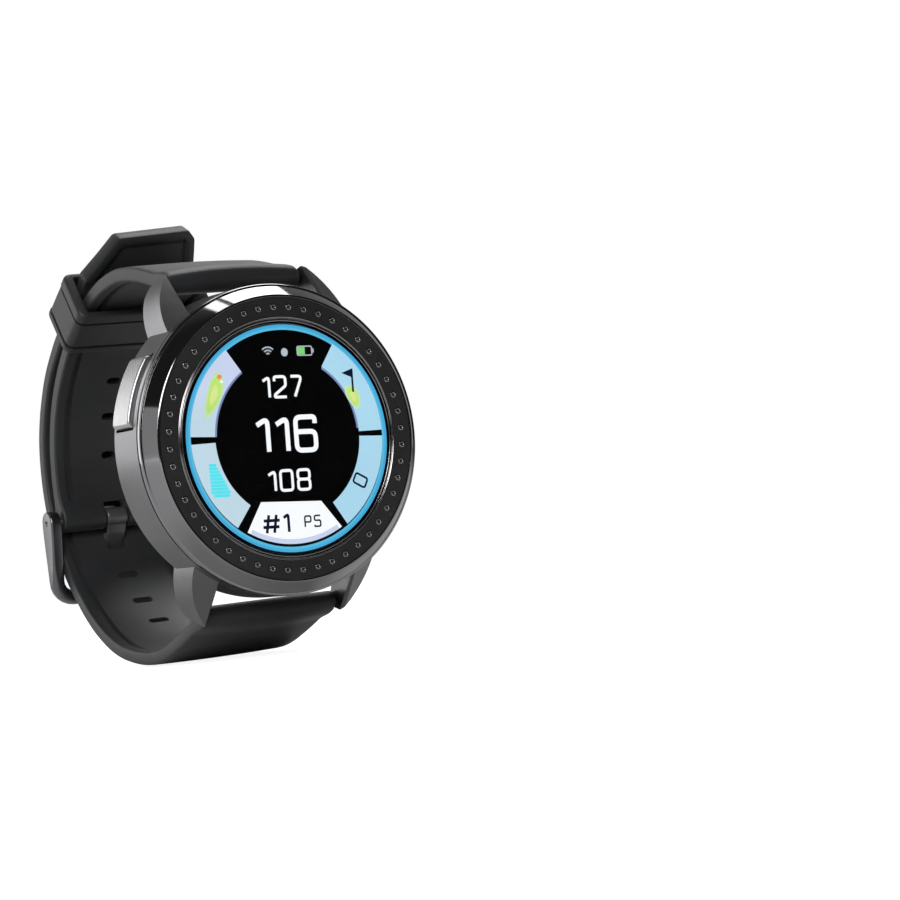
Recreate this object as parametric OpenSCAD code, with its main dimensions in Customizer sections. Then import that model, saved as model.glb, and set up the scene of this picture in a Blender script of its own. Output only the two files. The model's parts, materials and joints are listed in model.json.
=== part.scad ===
// Golf GPS watch: round metal case, dimpled bezel, round colour display, one side button,
// and a two-part rubber strap closed with a pin buckle and a loose keeper.
// Each sub-part is drawn lying on its back: x to 3 o'clock, y to 12 o'clock, z out of the
// dial, with z = 0 on the flat of the case back. stand_up() then turns the dial to face -Y.

/* [Case] */
// Outside diameter of the case body
case_d = 45; // [45:0.1:46]
// Thickness from the case back to the top of the bezel
case_t = 14; // [13.8:0.1:14.6]
// Outside diameter of the bezel ring
bezel_d = 45; // [44.6:0.1:45]
// Gap between the two lugs of a pair
lug_gap = 22.4; // [22.2:0.1:22.8]
// Distance from the dial centre to a lug's tip, towards 12 or 6 o'clock
lug_reach = 25.8; // [25.6:0.1:26.4]

/* [Bezel and lens] */
// Outside diameter of the black bezel insert
insert_d = 40.6; // [40:0.1:41]
// Number of dimples in the bezel insert
dimple_count = 48; // [24:12:60]
// Diameter of the circle that the dimples lie on
dimple_circle_d = 37.8; // [37.4:0.1:38.2]
// Diameter of the cover lens
lens_d = 34.2; // [34:0.1:34.4]
// Diameter of the display panel
panel_d = 32.8; // [32:0.1:32.9]

/* [Button] */
// Direction of the button from the dial centre, counter-clockwise from 3 o'clock
button_angle = 157; // [150:1:165]
// Length of the button along the case side
button_l = 11; // [8:0.5:12]
// Height of the button across the case side
button_h = 5.2; // [4:0.1:5.4]
// How far the button stands out of the case side
button_proud = 0.9; // [0.6:0.1:1.2]
// How far the button moves when pressed
button_travel = 0.6; // [0.3:0.1:0.6]

/* [Strap] */
// Width of the strap between the lugs
strap_w_lug = 21.6; // [21:0.1:21.8]
// Width of the lower strap where it passes through the buckle
strap_w_buckle = 19.6; // [19.2:0.1:19.8]
// Width of the straps at their narrow ends
strap_w_tip = 18.7; // [18:0.1:19]
// Thickness of the strap
strap_t = 2.2; // [2:0.1:2.3]
// Distance between neighbouring strap slots
slot_pitch = 6.2; // [6:0.1:7]
// Number of slots in the lower strap on each side of the one in use
spare_slots = 3; // [2:1:3]

/* [Buckle and keeper] */
// Width of the keeper along the strap
keeper_w = 9; // [7:0.5:10]
// Wall thickness of the keeper
keeper_wall = 1.2; // [1:0.1:1.4]
// Thickness of the buckle's arms, across the strap
arm_t = 1.9; // [1.4:0.1:2]
// Radius of the buckle's crossbar
bar_r = 1.2; // [1:0.1:1.3]
// Width of the buckle's tongue
tongue_w = 3.2; // [3:0.1:3.4]

/* [Hidden] */
$fn = 96;
eps = 0.01;

case_r = case_d / 2;
bezel_r = bezel_d / 2;
body_top = case_t - 3.1;      // top of the case body, under the bezel ring
edge_z = 3.6;                 // height of the case side's lower edge above the case back
base_z = 0.8;                 // height of the case body's underside above the case back
base_r = 19.3;                // outside radius of that underside
cavity_r = case_r - 4.1;      // inside radius of the case body
floor_z = 1.5;                // underside of the case body's inner flange
flange_t = 1.5;               // thickness of that flange
back_r = 17.4;                // radius of the case back
screw_circle_r = 15.9;        // where the case back's screws stand
seal_circle_r = 14.6;         // where its gasket lies
bar_y = 24.3;                 // spring bar axis, from the dial centre
bar_z = 1.8;                  // spring bar axis, above the case back
tip_r = 0.45;                 // radius of a spring bar's end pin
lug_side_r = 12.2;            // radius of a lug's outer side, seen from above
insert_t = 0.85;
lens_t = 0.5;
panel_z = case_t - 1.7;       // underside of the display panel
fit_gap = 0.05;               // all-round gap of seated pieces and shafts

shaft_z = 7.1;                // height of the button's axis above the case back
shaft_r = 0.8;
shaft_in = case_r - 5.5;      // distance of the shaft's inner end from the dial axis
pocket_r = case_r - 1.8;      // distance of the button pocket's floor from the dial axis
clip_at = case_r - 4.6;       // distance of the shaft's clip groove from the dial axis
groove_at = case_r - 3.1;     // distance of its seal groove
post_circle_r = 15.2;         // where the board's screws stand

// Strap paths along the middle of the strap's thickness, as [y, z], from the lug end on
upper_path = [[24.3, 1.8], [25.9, -3.5], [27.3, -10], [27.6, -17], [26, -25], [22.1, -33.3],
    [16.8, -39.6], [10.6, -44.2], [3.8, -46.7], [-3, -47.2], [-7.7, -46.4]];
lower_path = [[-24.3, 1.8], [-27.6, -6.5], [-29.7, -14], [-29.6, -22], [-27.4, -31],
    [-22.5, -39.5], [-15.3, -46], [-5.7, -49.8], [4.5, -49.8], [13.4, -46.1], [19.1, -41.3],
    [22.9, -36.5], [26.7, -30.8], [31.1, -27.5], [35.8, -25]];
pin_y = -7.7;                 // buckle pin axis
pin_z = -46.4;
pin_r = 0.75;
knuckle_r = 1.65;             // outside radius of the strap's rolled ends
bar_at = [-19.7, -47];        // buckle crossbar axis, as [y, z]
keeper_at = [24.05, -31.95];   // keeper's middle, as [y, z]
keeper_lean = 56;             // keeper's slope from the +y axis towards +z
tip_lean = 28;                // strap tip's slope, the same way
tip_rim = 0.5;                // how far the rim round the tip stands off its inner face
slot_w = 3.6;                 // width of a strap slot
slot_h = 1.3;                 // its height along the strap
used_slot_y = -12.9;          // where the tongue passes through the lower strap

// ---------- helpers ----------

// Turns the watch from lying on its back to its stored pose
module stand_up() { rotate([90, 0, 0]) children(); }

// Extrudes a [y, z] outline along x, centred on x = 0
module across(w) { rotate([90, 0, 90]) linear_extrude(w, center = true) children(); }

// A ring between two radii and two heights
module ring(r_in, r_out, z0, z1) {
    translate([0, 0, z0]) difference() {
        cylinder(r = r_out, h = z1 - z0);
        translate([0, 0, -1]) cylinder(r = r_in, h = z1 - z0 + 2);
    }
}

// A rod along x at [y, z]
module rod(r, w, at) { translate([0, at.x, at.y]) rotate([0, 90, 0]) cylinder(r = r, h = w, center = true); }

// Places children on the button's axis, with z pointing out of the case side
module on_button_axis() { rotate([0, 0, button_angle]) translate([0, 0, shaft_z]) rotate([0, 90, 0]) children(); }

// Places children in a square of four around the dial axis
module four_round(r) { for (a = [45 : 90 : 315]) rotate([0, 0, a]) translate([r, 0, 0]) children(); }

function catmull(a, b, c, d, t) = 0.5 * (2 * b + (c - a) * t + (2 * a - 5 * b + 4 * c - d) * t * t
    + (3 * b - a - 3 * c + d) * t * t * t);
function spline(p, steps) = [for (i = [0 : len(p) - 2], k = [0 : steps - 1])
    catmull(p[max(i - 1, 0)], p[i], p[i + 1], p[min(i + 2, len(p) - 1)], k / steps), p[len(p) - 1]];
function along(p, i) = let(v = p[min(i + 1, len(p) - 1)] - p[max(i - 1, 0)]) v / norm(v);
function side(p, i) = let(t = along(p, i)) [-t.y, t.x];
function ribbon(p, d) = concat([for (i = [0 : len(p) - 1]) p[i] + d * side(p, i)],
    [for (i = [len(p) - 1 : -1 : 0]) p[i] - d * side(p, i)]);
// Lengths along a path, the first point past a length, and the slope there
function lengths(p, i = 1, out = [0]) =
    i == len(p) ? out : lengths(p, i + 1, concat(out, [out[i - 1] + norm(p[i] - p[i - 1])]));
function index_at(l, s) = len([for (v = l) if (v < s) v]);
function slope_at(p, i) = let(t = along(p, i)) atan2(t.y, t.x);

upper_curve = spline(upper_path, 6);
lower_curve = spline(lower_path, 6);
upper_len = lengths(upper_curve);
lower_len = lengths(lower_curve);

// ---------- case ----------

module body_outline() {
    polygon([[0, base_z], [base_r, base_z], [case_r - 0.3, edge_z - 0.15], [case_r - 0.06, edge_z],
        [case_r, edge_z + 0.2], [case_r, body_top], [0, body_top]]);
}

// Cone over the lugs' tops, rounded under, as a solid of revolution
module lug_envelope() {
    tip = norm([lug_gap / 2, lug_reach]);
    rotate_extrude() polygon([[0, edge_z - 0.4], [case_r - 0.4, edge_z - 0.3], [tip - 2.5, 1.1], [tip - 1.9, 0.75],
        [tip - 1, 0.85], [tip - 0.4, 2.2], [tip, 3.9], [tip - 0.15, 4.15], [case_r - 0.5, body_top - 0.9],
        [case_r - 1.4, body_top], [0, body_top]]);
}

// One lug's outline seen from above, at the 12 o'clock side, to the right
module lug_plan() {
    side_x = 15;
    root_y = 16.9;
    difference() {
        translate([lug_gap / 2, 8]) square([side_x - lug_gap / 2, lug_reach - 8]);
        difference() {
            translate([lug_gap / 2 - 1, root_y]) square([side_x, lug_reach - root_y + 1]);
            translate([side_x - lug_side_r, root_y]) circle(r = lug_side_r);
        }
    }
}

module lugs() {
    difference() {
        intersection() {
            lug_envelope();
            for (sx = [0, 1], sy = [0, 1]) mirror([sx, 0, 0]) mirror([0, sy, 0])
                linear_extrude(body_top) lug_plan();
        }
        // polished bevel along each lug's inner top edge
        for (sx = [0, 1], sy = [0, 1]) mirror([sx, 0, 0]) mirror([0, sy, 0])
            translate([lug_gap / 2, 22.3, 7.03]) rotate([-42.5, 0, 0]) rotate([0, 45, 0])
                cube([0.6, 12, 0.6], center = true);
        cylinder(r = cavity_r + 1, h = case_t);
    }
}

module case_middle() {
    color("dimgray") difference() {
        union() {
            rotate_extrude() body_outline();
            lugs();
        }
        translate([0, 0, floor_z + flange_t]) cylinder(r = cavity_r, h = case_t);
        translate([0, 0, -1]) cylinder(r = seal_circle_r - 1, h = case_t);
        translate([0, 0, -1]) cylinder(r = back_r + fit_gap, h = floor_z + 1);
        four_round(screw_circle_r) cylinder(r = 0.65, h = 2.6);
        // spring bar holes in the lugs
        for (s = [-1, 1]) rod(tip_r + fit_gap, lug_gap + 1.5, [s * bar_y, bar_z]);
        // button pocket, shaft bore and spring seat
        button_pocket();
        on_button_axis() cylinder(r = shaft_r + fit_gap, h = case_r);
        on_button_axis() translate([0, 0, pocket_r - 0.6]) cylinder(r = 1.5, h = 2);
        // pressure vent by the button
        rotate([0, 0, button_angle - 14.4]) translate([case_r - 0.6, 0, shaft_z + 2.5])
            rotate([0, 90, 0]) cylinder(r = 0.35, h = 2);
    }
}

// Chamfered block that the button and its pocket are cut from; g widens it all round
module button_block(g) {
    cut = 1.1;
    l = button_l / 2 + g;
    h = button_h / 2 + g;
    rotate([0, 0, button_angle]) translate([0, 0, shaft_z - h]) linear_extrude(2 * h)
        polygon([[0, -l], [case_r, -l], [case_r + 2, cut - l + 1], [case_r + 2, l - cut - 1], [case_r, l], [0, l]]);
}

module button_pocket() {
    difference() {
        button_block(0.15);
        translate([0, 0, -1]) cylinder(r = pocket_r, h = case_t + 2);
    }
}

module bezel_ring() {
    seat_r = lens_d / 2 + fit_gap;
    insert_r = insert_d / 2 + fit_gap;
    insert_z = case_t - insert_t;
    ledge_z = case_t - fit_gap - lens_t - 0.2;
    color("slategray") rotate_extrude() polygon([
        [cavity_r, body_top], [bezel_r - 0.5, body_top], [bezel_r - 0.5, body_top + 0.25],
        [bezel_r - 0.1, body_top + 0.25], [bezel_r, body_top + 0.35], [bezel_r, body_top + 0.9],
        [bezel_r - 0.1, body_top + 1.02], [bezel_r - 0.34, body_top + 1.04], [bezel_r - 0.4, body_top + 1.16],
        [insert_r + 0.36, case_t - 0.12], [insert_r + 0.22, case_t - 0.04],
        [insert_r, case_t - 0.04], [insert_r, insert_z], [seat_r, insert_z], [seat_r, ledge_z],
        [panel_d / 2 + 0.1, ledge_z], [panel_d / 2 + 0.1, ledge_z - 0.5], [cavity_r, ledge_z - 0.5]]);
}

module bezel_insert() {
    color("black") difference() {
        ring(lens_d / 2 + 0.45, insert_d / 2, case_t - insert_t, case_t);
        for (i = [0 : dimple_count - 1]) rotate([0, 0, 90 + i * 360 / dimple_count])
            translate([dimple_circle_d / 2, 0, case_t + 0.22]) sphere(r = 0.55, $fn = 32);
    }
}

module trim_ring() {
    r = lens_d / 2 + 0.1;
    color("silver") rotate_extrude() polygon([[r, case_t - insert_t], [r + 0.3, case_t - insert_t],
        [r + 0.3, case_t + 0.02], [r + 0.2, case_t + 0.1], [r + 0.1, case_t + 0.1], [r, case_t + 0.02]]);
}

// ---------- display ----------

module cover_lens() {
    r = lens_d / 2;
    color([0.1, 0.12, 0.15, 0.4]) translate([0, 0, case_t - fit_gap - lens_t]) rotate_extrude()
        polygon([[0, 0], [r, 0], [r, lens_t - 0.2], [r - 0.2, lens_t], [0, lens_t]]);
}

module lens_gasket() {
    color("darkslategray") ring(panel_d / 2 + 0.2, lens_d / 2 - 0.05,
        case_t - fit_gap - lens_t - 0.2, case_t - fit_gap - lens_t);
}

module display_panel() {
    color("midnightblue") translate([0, 0, panel_z]) cylinder(r = panel_d / 2, h = 1.05);
}

module display_backlight() {
    color("white") translate([0, 0, panel_z - 0.8]) cylinder(r = panel_d / 2 - 0.2, h = 0.75);
}

module display_tray() {
    color("gray") difference() {
        translate([0, 0, panel_z - 1.6]) cylinder(r = cavity_r - 0.1, h = 2);
        translate([0, 0, panel_z - 0.85]) cylinder(r = panel_d / 2 + 0.05, h = 3);
        cylinder(r = 12, h = case_t);
        // way through for the display's flex
        translate([-5, -cavity_r, 0]) cube([10, 3, case_t]);
    }
}

module display_flex() {
    y0 = -panel_d / 2 - 0.1;
    top = panel_z + 0.2;
    low = 8.85;
    color("orange") across(8) polygon([[y0, top], [y0 - 1.4, top], [y0 - 1.4, low], [y0 + 2.4, low],
        [y0 + 2.4, low + 0.15], [y0 - 1.25, low + 0.15], [y0 - 1.25, top - 0.15], [y0, top - 0.15]]);
}

// ---------- electronics ----------

module main_board() {
    color("darkgreen") difference() {
        translate([0, 0, 8.2]) cylinder(r = cavity_r - 1.3, h = 0.6);
        four_round(post_circle_r) cylinder(r = 0.75, h = case_t);
        translate([-5, -cavity_r, 0]) cube([10, 2.2, case_t]);
    }
}

module shield_cans() {
    color("silver") {
        translate([-10.5, -8, 7.35]) cube([12, 9, 0.85]);
        translate([3, -8, 7.35]) cube([8, 12, 0.85]);
        translate([-10.5, 3, 7.35]) cube([9, 5.5, 0.85]);
    }
}

module board_screws() {
    color("silver") four_round(post_circle_r) difference() {
        union() {
            translate([0, 0, 8.8]) cylinder(r = 1.2, h = 0.6);
            translate([0, 0, 6.2]) cylinder(r = 0.7, h = 2.7);
        }
        translate([0, 0, 9.3]) cube([1.6, 0.3, 0.4], center = true);
    }
}

module gps_antenna() {
    color("gold") difference() {
        ring(cavity_r - 1.05, cavity_r - 0.75, 7.6, 9.4);
        translate([-30, -30, 0]) cube([60, 40, case_t]);
    }
}

module inner_frame() {
    outer_r = cavity_r - 0.15;
    color("dimgray") difference() {
        union() {
            ring(outer_r - 0.5, outer_r, 3.05, panel_z - 1.65);
            ring(14, outer_r, 3.05, 7.2);
            four_round(post_circle_r) cylinder(r = 1.6, h = 8.2);
        }
        translate([-11.3, -9.3, 0]) cube([22.6, 18.6, case_t]);
        translate([0, 0, -1]) cylinder(r = cavity_r, h = 4.05);
        four_round(post_circle_r) cylinder(r = 0.7, h = case_t);
        // room for the switch, the button's shaft and its clip
        rotate([0, 0, button_angle]) translate([13, -2.6, 4]) cube([8, 5.2, case_t]);
        translate([-5, -cavity_r, 6]) cube([10, 3, case_t]);
    }
}

module battery() {
    color("silver") difference() {
        translate([-11, -9, 3.1]) cube([22, 18, 4]);
        for (sx = [-1, 1], sy = [-1, 1]) translate([sx * 11, sy * 9, 0]) rotate([0, 0, 45])
            cube([1.2, 1.2, 20], center = true);
    }
}

module battery_pad() {
    color("black") translate([-8, -6, 7.1]) cube([16, 12, 0.25]);
}

module charge_board() {
    color("darkgreen") translate([-6, -11, 2.5]) cube([12, 4, 0.5]);
}

module charge_pins() {
    color("gold") for (x = [-3.81 : 2.54 : 3.81]) translate([x, -9, 0]) {
        translate([0, 0, 0.1]) cylinder(r = 0.8, h = 2.4, $fn = 48);
    }
}

module tact_switch() {
    color("silver") rotate([0, 0, button_angle]) {
        translate([shaft_in - 3.9, -2, 5.9]) cube([2.5, 4, 2.3]);
        translate([shaft_in - 1.5, -0.8, shaft_z - 0.6]) cube([0.8, 1.6, 1.2]);
    }
}

// ---------- case back ----------

module case_back() {
    color("darkslategray") difference() {
        rotate_extrude() polygon([[0, 0], [back_r - 0.5, 0], [back_r, 0.5], [back_r, floor_z], [0, floor_z]]);
        rotate_extrude() translate([seal_circle_r - 0.42, floor_z - 0.8]) square([0.84, 1]);
        four_round(screw_circle_r) translate([0, 0, -1]) cylinder(r = 0.75, h = 4);
        four_round(screw_circle_r) translate([0, 0, -1]) cylinder(r = 1.25, h = 1.75);
        for (x = [-3.81 : 2.54 : 3.81]) translate([x, -9, -1]) cylinder(r = 0.82, h = 4, $fn = 48);
        // shallow line around the wrist side
        rotate_extrude() translate([11.8, -1]) square([0.4, 1.15]);
    }
}

module case_back_gasket() {
    color("black") rotate_extrude() translate([seal_circle_r, floor_z - 0.4]) circle(r = 0.4, $fn = 32);
}

module case_back_screws() {
    color("silver") four_round(screw_circle_r) difference() {
        union() {
            translate([0, 0, 0.05]) cylinder(r = 1.2, h = 0.7, $fn = 48);
            translate([0, 0, 0.7]) cylinder(r = 0.65, h = 1.8, $fn = 48);
        }
        for (a = [0, 90]) rotate([0, 0, a]) cube([1.5, 0.3, 0.8], center = true);
    }
}

// ---------- button ----------

module button_cap() {
    top_r = case_r + button_proud;
    h = button_h / 2;
    color("silver") difference() {
        intersection() {
            button_block(0);
            translate([0, 0, shaft_z]) rotate_extrude() polygon([[pocket_r + 0.7, -h], [top_r - 0.75, -h],
                [top_r - 0.2, 0.7 - h], [top_r, 1.6 - h], [top_r, h - 1.6], [top_r - 0.2, h - 0.7],
                [top_r - 0.75, h], [pocket_r + 0.7, h]]);
        }
        on_button_axis() cylinder(r = shaft_r, h = pocket_r + 1.5);
    }
}

module button_shaft() {
    color("silver") on_button_axis() difference() {
        translate([0, 0, shaft_in]) cylinder(r = shaft_r, h = pocket_r + 1.5 - shaft_in, $fn = 48);
        translate([0, 0, groove_at - 0.25]) difference() {
            cylinder(r = 2, h = 0.5);
            cylinder(r = 0.5, h = 0.5, $fn = 48);
        }
        translate([0, 0, clip_at - 0.02]) difference() {
            cylinder(r = 2, h = 0.3);
            cylinder(r = 0.55, h = 0.3, $fn = 48);
        }
    }
}

module button_seal() {
    color("black") on_button_axis() translate([0, 0, groove_at])
        rotate_extrude() translate([0.68, 0]) circle(r = 0.16, $fn = 24);
}

module button_clip() {
    color("silver") on_button_axis() translate([0, 0, clip_at]) difference() {
        cylinder(r = 1.6, h = 0.26, $fn = 48);
        translate([0, 0, -1]) cylinder(r = 0.6, h = 3, $fn = 48);
        translate([0, -0.5, -1]) cube([3, 1, 3]);
    }
}

// Coil between the pocket's spring seat and the underside of the cap
module button_spring() {
    coil_r = 1.15;
    wire_r = 0.1;
    turns = 1.5;
    sides = 6;
    steps = 60;
    low = pocket_r - 0.6 + wire_r;
    high = pocket_r + 0.63 - wire_r;
    points = [for (i = [0 : steps], k = [0 : sides - 1])
        let(a = 360 * turns * i / steps, b = 360 * k / sides, r = coil_r + wire_r * cos(b))
        [r * cos(a), r * sin(a), low + (high - low) * i / steps + wire_r * sin(b)]];
    faces = concat([[for (k = [0 : sides - 1]) k]],
        [for (i = [0 : steps - 1], k = [0 : sides - 1])
            [i * sides + k, (i + 1) * sides + k, (i + 1) * sides + (k + 1) % sides, i * sides + (k + 1) % sides]],
        [[for (k = [sides - 1 : -1 : 0]) steps * sides + k]]);
    color("silver") on_button_axis() polyhedron(points, faces, convexity = 6);
}

// ---------- strap ----------

module spring_bar(s) {
    color("silver") {
        rod(0.9, strap_w_lug - 0.4, [s * bar_y, bar_z]);
        rod(tip_r, lug_gap + 1.3, [s * bar_y, bar_z]);
    }
}

module spring_bar_upper() { spring_bar(1); }
module spring_bar_lower() { spring_bar(-1); }

// Everything within the upper strap's tapered width
module upper_taper() {
    w0 = strap_w_lug / 2;
    w1 = strap_w_tip / 2;
    seen_from_above([[-w1, -60], [w1, -60], [w1, -36], [w0, -2], [w0, 5], [-w0, 5], [-w0, -2], [-w1, -36]]);
}

// Everything within the lower strap's, which narrows again from the buckle to the tip
module lower_taper() {
    w0 = strap_w_lug / 2;
    w1 = strap_w_buckle / 2;
    w2 = strap_w_tip / 2;
    intersection() {
        seen_from_above([[-w1, -60], [w1, -60], [w1, -42], [w0, -26], [w0, 5], [-w0, 5], [-w0, -26], [-w1, -42]]);
        translate([0, 0, -60]) linear_extrude(70) polygon([[-w0, -40], [w0, -40], [w0, -10], [w1, -9.9], [w1, 10],
            [w2, 36], [w2, 40], [-w2, 40], [-w2, 36], [-w1, 10], [-w1, -9.9], [-w0, -10]]);
    }
}

// Extrudes an [x, z] outline along y
module seen_from_above(outline) {
    translate([0, 50, 0]) rotate([90, 0, 0]) linear_extrude(100) polygon(outline);
}

// A slot through the strap, square to it, at a length along its path
module strap_slot(curve, length_list, s, h) {
    i = index_at(length_list, s);
    translate([0, curve[i].x, curve[i].y]) rotate([slope_at(curve, i), 0, 0])
        cube([slot_w, h, 6], center = true);
}

module strap_upper() {
    color("#2b2b2d") difference() {
        intersection() {
            union() {
                across(30) polygon(ribbon(upper_curve, strap_t / 2));
                rod(knuckle_r, 30, upper_path[0]);
                rod(knuckle_r, 30, [pin_y, pin_z]);
            }
            upper_taper();
        }
        rod(0.9 + fit_gap, 40, [bar_y, bar_z]);
        rod(pin_r, 40, [pin_y, pin_z]);
        // notch for the tongue's rolled end
        translate([0, pin_y, pin_z]) cube([tongue_w + 0.6, 5.2, 6], center = true);
        end = upper_len[len(upper_len) - 1];
        for (k = [0 : 2]) strap_slot(upper_curve, upper_len, end - 22 + k * slot_pitch, slot_h);
    }
}

module strap_lower() {
    used = lower_len[len([for (v = lower_curve) if (v.x < used_slot_y) v])];
    color("#2b2b2d") difference() {
        intersection() {
            union() {
                across(30) polygon(ribbon(lower_curve, strap_t / 2));
                rod(knuckle_r, 30, lower_path[0]);
                on_tip() translate([-15, -8, 0]) cube([30, 8, strap_t / 2 + tip_rim]);
            }
            lower_taper();
        }
        rod(0.9 + fit_gap, 40, [-bar_y, bar_z]);
        for (k = [1 : spare_slots], s = [-1, 1])
            strap_slot(lower_curve, lower_len, used + s * k * slot_pitch, slot_h);
        // the slot in use is stretched by the slanted tongue
        strap_slot(lower_curve, lower_len, used, 3.4);
        tip_corners();
    }
}

// Places children on the strap's tip, y along the strap to its end and z off its inner face
module on_tip() {
    tip = lower_path[len(lower_path) - 1];
    translate([0, tip.x, tip.y]) rotate([tip_lean, 0, 0]) children();
}

// The two corners clipped off the tip, and the panel sunk inside its rim
module tip_corners() {
    w = strap_w_tip / 2;
    on_tip() {
        linear_extrude(8, center = true) {
            polygon([[-w - 1, -8.4], [-w + 5.1, 0.3], [-w + 5.1, 2], [-w - 1, 2]]);
            polygon([[w + 1, -4.1], [w - 1.9, 0.2], [w - 1.9, 2], [w + 1, 2]]);
        }
        translate([0, 0, strap_t / 2]) linear_extrude(2)
            polygon([[-w + 5.8, -2], [w - 2.9, -2], [w - 1.4, -4.2], [w - 1.4, -7], [-w + 2.3, -7]]);
    }
}

module keeper() {
    inner_t = 6.6;
    inner_w = strap_w_tip + 1.1;
    side_wall = 1.75;
    color("#2b2b2d") translate([0, keeper_at.x, keeper_at.y]) rotate([keeper_lean, 0, 0])
        difference() {
            cube([inner_w + 2 * side_wall, keeper_w, inner_t + 2 * keeper_wall], center = true);
            cube([inner_w, keeper_w + 2, inner_t], center = true);
        }
}

module buckle_pin() {
    color("silver") rod(pin_r, strap_w_buckle + 0.3 + 2 * arm_t - 0.5, [pin_y, pin_z]);
}

module buckle_frame() {
    arm_r = 1.8;
    arm_x = strap_w_buckle / 2 + 0.15;
    color("slategray") {
        difference() {
            union() {
                for (s = [-1, 1]) translate([s * (arm_x + arm_t / 2), 0, 0]) across(arm_t) union() {
                    translate([pin_y, pin_z]) circle(r = arm_r);
                    translate(bar_at) circle(r = bar_r);
                    polygon([[pin_y, pin_z - arm_r], [pin_y + 0.3, pin_z + arm_r], [-13.4, -45.6],
                        bar_at + [0.3, bar_r], bar_at + [-bar_r * 0.6, -bar_r * 0.8], [-13.5, -49]]);
                }
                rod(bar_r, 2 * arm_x + 2 * arm_t, bar_at);
            }
            rod(pin_r + fit_gap, 40, [pin_y, pin_z]);
        }
    }
}

module buckle_tongue() {
    color("silver") difference() {
        union() {
            rod(1.55, tongue_w, [pin_y, pin_z]);
            across(tongue_w) polygon([[-8.2, -45.2], [-10.4, -45.6], [-12.6, -47.3], [-14.2, -48.9], [-20.6, -48.3],
                [-20.8, -49.2], [-13.9, -50], [-12, -48.3], [-10, -46.9], [-8.2, -46.9]]);
        }
        rod(pin_r + fit_gap, 40, [pin_y, pin_z]);
    }
}

// ---------- the watch ----------

stand_up() case_middle();
stand_up() bezel_ring();
stand_up() bezel_insert();
stand_up() trim_ring();
stand_up() cover_lens();
stand_up() lens_gasket();
stand_up() display_panel();
stand_up() display_backlight();
stand_up() display_tray();
stand_up() display_flex();
stand_up() main_board();
stand_up() shield_cans();
stand_up() board_screws();
stand_up() gps_antenna();
stand_up() inner_frame();
stand_up() battery();
stand_up() battery_pad();
stand_up() charge_board();
stand_up() charge_pins();
stand_up() case_back();
stand_up() case_back_gasket();
stand_up() case_back_screws();
stand_up() tact_switch();
stand_up() button_cap();
stand_up() button_shaft();
stand_up() button_seal();
stand_up() button_clip();
stand_up() button_spring();
stand_up() spring_bar_upper();
stand_up() spring_bar_lower();
stand_up() strap_upper();
stand_up() strap_lower();
stand_up() keeper();
stand_up() buckle_frame();
stand_up() buckle_tongue();
stand_up() buckle_pin();
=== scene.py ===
"""Looks for the golf GPS watch. Watch coordinates are millimetres: x to 3 o'clock, y to 12 o'clock,
z out of the dial from the flat of the case back. at() turns them into the row frame in metres."""
import json
import math

import bmesh
import bpy
import numpy as np
from mathutils import Matrix, Vector


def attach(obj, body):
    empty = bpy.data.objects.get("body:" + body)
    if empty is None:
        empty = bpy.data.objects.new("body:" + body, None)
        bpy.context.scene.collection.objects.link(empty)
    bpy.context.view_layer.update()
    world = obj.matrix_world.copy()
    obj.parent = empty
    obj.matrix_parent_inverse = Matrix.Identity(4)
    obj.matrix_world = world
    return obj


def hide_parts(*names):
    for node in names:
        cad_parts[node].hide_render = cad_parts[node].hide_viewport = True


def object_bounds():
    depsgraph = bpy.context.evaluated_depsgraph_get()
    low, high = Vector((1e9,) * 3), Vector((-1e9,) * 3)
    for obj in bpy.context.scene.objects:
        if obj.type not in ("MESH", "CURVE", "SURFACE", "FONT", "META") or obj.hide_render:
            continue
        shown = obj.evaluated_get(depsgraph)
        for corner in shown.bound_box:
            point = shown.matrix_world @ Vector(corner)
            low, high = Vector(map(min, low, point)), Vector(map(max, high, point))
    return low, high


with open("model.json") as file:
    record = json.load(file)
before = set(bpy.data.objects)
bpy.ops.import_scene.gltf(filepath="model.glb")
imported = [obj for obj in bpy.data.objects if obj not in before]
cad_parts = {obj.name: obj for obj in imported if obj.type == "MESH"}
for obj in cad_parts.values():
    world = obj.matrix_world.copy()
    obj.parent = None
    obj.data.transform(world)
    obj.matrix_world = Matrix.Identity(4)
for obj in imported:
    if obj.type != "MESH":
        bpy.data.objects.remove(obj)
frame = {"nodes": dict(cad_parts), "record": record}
cad_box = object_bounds()
MM = 0.001

# Sizes that part.scad also uses, in millimetres
CASE_R = 22.5
BUTTON_ANGLE = 157
BUTTON_Z = 7.1
LUG_W, BUCKLE_W, TIP_W = 10.8, 9.8, 9.35     # half widths of the straps
UPPER_PATH = [(24.3, 1.8), (25.9, -3.5), (27.3, -10), (27.6, -17), (26, -25), (22.1, -33.3),
              (16.8, -39.6), (10.6, -44.2), (3.8, -46.7), (-3, -47.2), (-7.7, -46.4)]
LOWER_PATH = [(-24.3, 1.8), (-27.6, -6.5), (-29.7, -14), (-29.6, -22), (-27.4, -31), (-22.5, -39.5),
              (-15.3, -46), (-5.7, -49.8), (4.5, -49.8), (13.4, -46.1), (19.1, -41.3), (22.9, -36.5),
              (26.7, -30.8), (31.1, -27.5), (35.8, -25)]
PIN = UPPER_PATH[-1]
BAR = (-19.7, -47)
KEEPER = (24.05, -31.95)
KEEPER_LEAN = 56
KNUCKLE = 1.65                 # radius of the straps' rolled ends
SLOT_PITCH = 6.2
SPARE_SLOTS = 3                # on each side of the slot in use
USED_SLOT_Y = -12.9

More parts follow.
